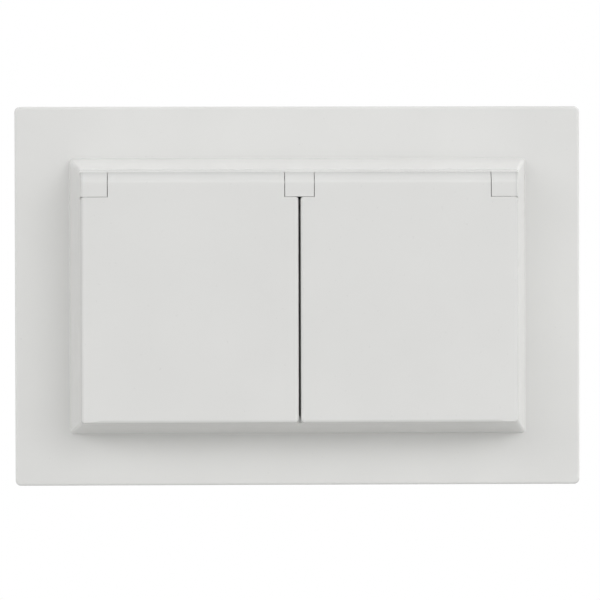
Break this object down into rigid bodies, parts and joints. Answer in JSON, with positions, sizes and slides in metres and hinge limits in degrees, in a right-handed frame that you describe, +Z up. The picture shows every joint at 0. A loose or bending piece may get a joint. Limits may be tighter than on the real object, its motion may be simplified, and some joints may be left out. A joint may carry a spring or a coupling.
{
  "type": "weatherproof double socket",
  "caption": "Flush-mounted weatherproof double power socket with a flat frame, a raised tapered block and sprung hinged lids over round earthed plug wells.",
  "frame": {"origin": "midpoint of the two wall-box screw slots, on the support plate's back face, which lies in the wall plane", "axes": "+X to the right seen from the front, +Z up, +Y into the wall, so the lids face -Y"},
  "size_m": [0.1264, 0.0529, 0.0848],
  "materials": {
    "white_plastic": "satin gloss white moulding",
    "grey_plastic": "grey moulding",
    "base_plastic": "pale grey moulding",
    "button_plastic": "orange moulding",
    "rubber": "black sealing rubber",
    "steel": "plated steel",
    "brass": "stamped brass"
  },
  "bodies": {
    "housing": {"front_cover": "white_plastic", "socket_front": "white_plastic", "left_contact_cover": "white_plastic", "right_contact_cover": "white_plastic", "insert_base": "base_plastic", "back_cover": "base_plastic", "deck_seal": "rubber", "wall_seal": "rubber", "left_hinge_pin": "steel", "right_hinge_pin": "steel", "left_lid_spring": "steel", "right_lid_spring": "steel", "left_shutter_spring": "steel", "right_shutter_spring": "steel", "live_clamps": "steel", "neutral_clamps": "steel", "earth_clamps": "steel", "support_plate": "steel", "cover_screws": "steel", "screw_nuts": "steel", "earth_strap": "brass", "live_busbar": "brass", "neutral_busbar": "brass"},
    "left_lid": {"left_lid": "white_plastic", "left_lid_seal": "rubber"},
    "right_lid": {"right_lid": "white_plastic", "right_lid_seal": "rubber"},
    "left_shutter": {"left_shutter": "grey_plastic"},
    "right_shutter": {"right_shutter": "grey_plastic"},
    "live_button": {"live_button": "button_plastic"},
    "neutral_button": {"neutral_button": "button_plastic"},
    "earth_button": {"earth_button": "button_plastic"}
  },
  "joints": [
    {"name": "left_lid_hinge", "type": "hinge", "parent": "housing", "child": "left_lid", "pos_m": [-0.0225, -0.0281, 0.0263], "axis": [-1, 0, 0], "range_deg": [0, 110], "stiffness_Nm_per_rad": 0.008, "springref_deg": -114.59, "deforming": ["left_lid_spring"]},
    {"name": "right_lid_hinge", "type": "hinge", "parent": "housing", "child": "right_lid", "pos_m": [0.0225, -0.0281, 0.0263], "axis": [-1, 0, 0], "range_deg": [0, 110], "stiffness_Nm_per_rad": 0.008, "springref_deg": -114.59, "deforming": ["right_lid_spring"]},
    {"name": "left_shutter_slide", "type": "slide", "parent": "housing", "child": "left_shutter", "axis": [1, 0, 0], "range_m": [0, 0.0064], "stiffness_N_per_m": 60, "springref_m": -0.004, "deforming": ["left_shutter_spring"]},
    {"name": "right_shutter_slide", "type": "slide", "parent": "housing", "child": "right_shutter", "axis": [-1, 0, 0], "range_m": [0, 0.0064], "stiffness_N_per_m": 60, "springref_m": -0.004, "deforming": ["right_shutter_spring"]},
    {"name": "live_button_press", "type": "slide", "parent": "housing", "child": "live_button", "axis": [0, -1, 0], "range_m": [0, 0.0015], "stiffness_N_per_m": 600, "springref_m": -0.0005, "deforming": ["live_clamps"]},
    {"name": "neutral_button_press", "type": "slide", "parent": "housing", "child": "neutral_button", "axis": [0, -1, 0], "range_m": [0, 0.0015], "stiffness_N_per_m": 600, "springref_m": -0.0005, "deforming": ["neutral_clamps"]},
    {"name": "earth_button_press", "type": "slide", "parent": "housing", "child": "earth_button", "axis": [0, -1, 0], "range_m": [0, 0.0015], "stiffness_N_per_m": 600, "springref_m": -0.0005, "deforming": ["earth_clamps"]}
  ]
}
